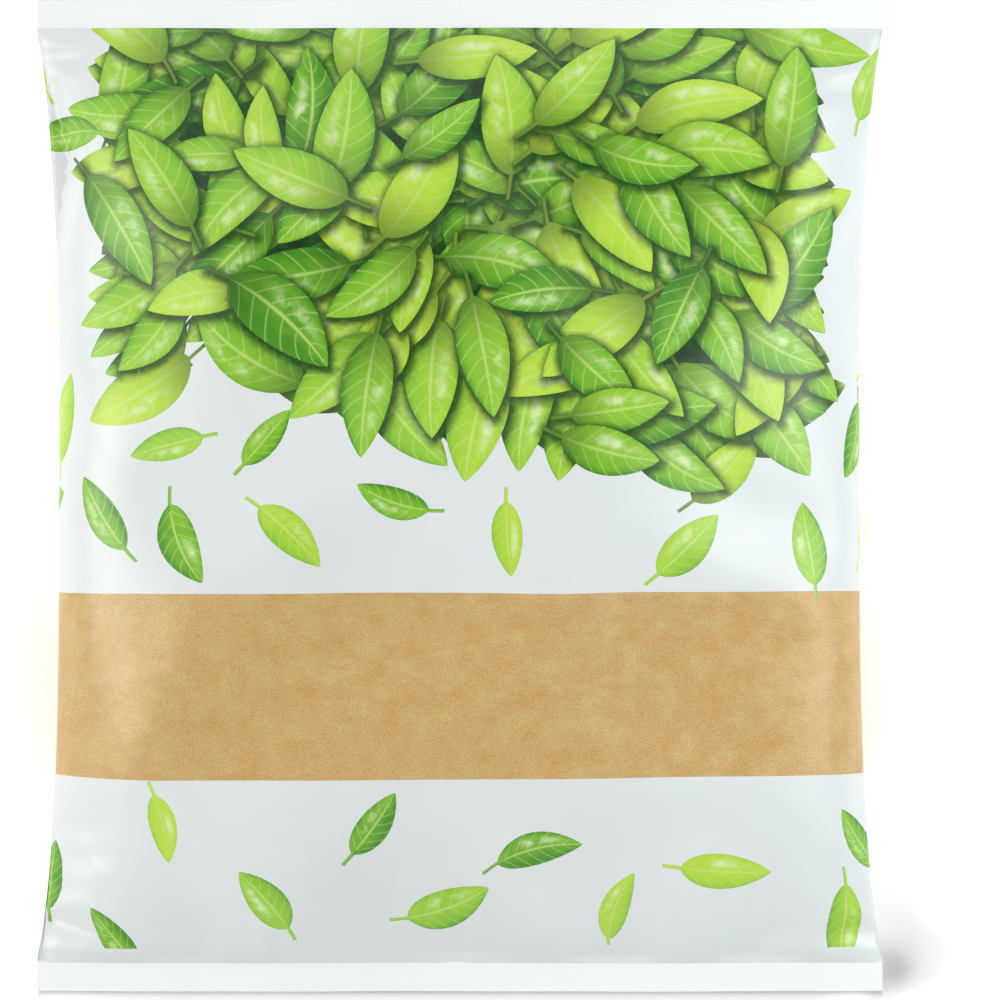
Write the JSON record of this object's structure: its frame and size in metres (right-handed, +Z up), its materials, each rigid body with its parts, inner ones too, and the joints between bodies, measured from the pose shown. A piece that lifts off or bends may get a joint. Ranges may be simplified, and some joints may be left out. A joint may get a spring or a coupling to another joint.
{
  "type": "pillow bag",
  "caption": "Sealed pillow bag of frozen shelled edamame: printed film tube with two flat end seals and a folded fin seal along the back, lying on its back.",
  "frame": {"origin": "middle of the area the bag lies on, at the surface", "axes": "+X across the bag, +Y from the bottom seal to the top seal, +Z up out of the front panel"},
  "size_m": [0.21, 0.246, 0.0375],
  "materials": {
    "film_front": "satin",
    "film_back": "satin",
    "film_seal": "satin",
    "edamame": "smooth skin"
  },
  "bodies": {
    "root": {"front_panel": "film_front", "back_panel": "film_back", "fin_seal": "film_seal", "top_seal": "film_seal", "bottom_seal": "film_seal", "edamame_fill": "edamame", "bean_01": "edamame", "bean_02": "edamame", "bean_03": "edamame", "bean_04": "edamame", "bean_05": "edamame", "bean_06": "edamame", "bean_07": "edamame", "bean_08": "edamame", "bean_09": "edamame", "bean_10": "edamame", "bean_11": "edamame", "bean_12": "edamame", "bean_13": "edamame", "bean_14": "edamame", "bean_15": "edamame", "bean_16": "edamame", "bean_17": "edamame", "bean_18": "edamame", "bean_19": "edamame", "bean_20": "edamame", "bean_21": "edamame", "bean_22": "edamame", "bean_23": "edamame", "bean_24": "edamame", "bean_25": "edamame", "bean_26": "edamame", "bean_27": "edamame", "bean_28": "edamame", "bean_29": "edamame", "bean_30": "edamame", "bean_31": "edamame", "bean_32": "edamame", "bean_33": "edamame", "bean_34": "edamame", "bean_35": "edamame", "bean_36": "edamame", "bean_37": "edamame", "bean_38": "edamame", "bean_39": "edamame", "bean_40": "edamame", "bean_41": "edamame", "bean_42": "edamame", "bean_43": "edamame", "bean_44": "edamame", "bean_45": "edamame", "bean_46": "edamame", "bean_47": "edamame", "bean_48": "edamame", "bean_49": "edamame", "bean_50": "edamame", "bean_51": "edamame", "bean_52": "edamame"}
  },
  "joints": []
}
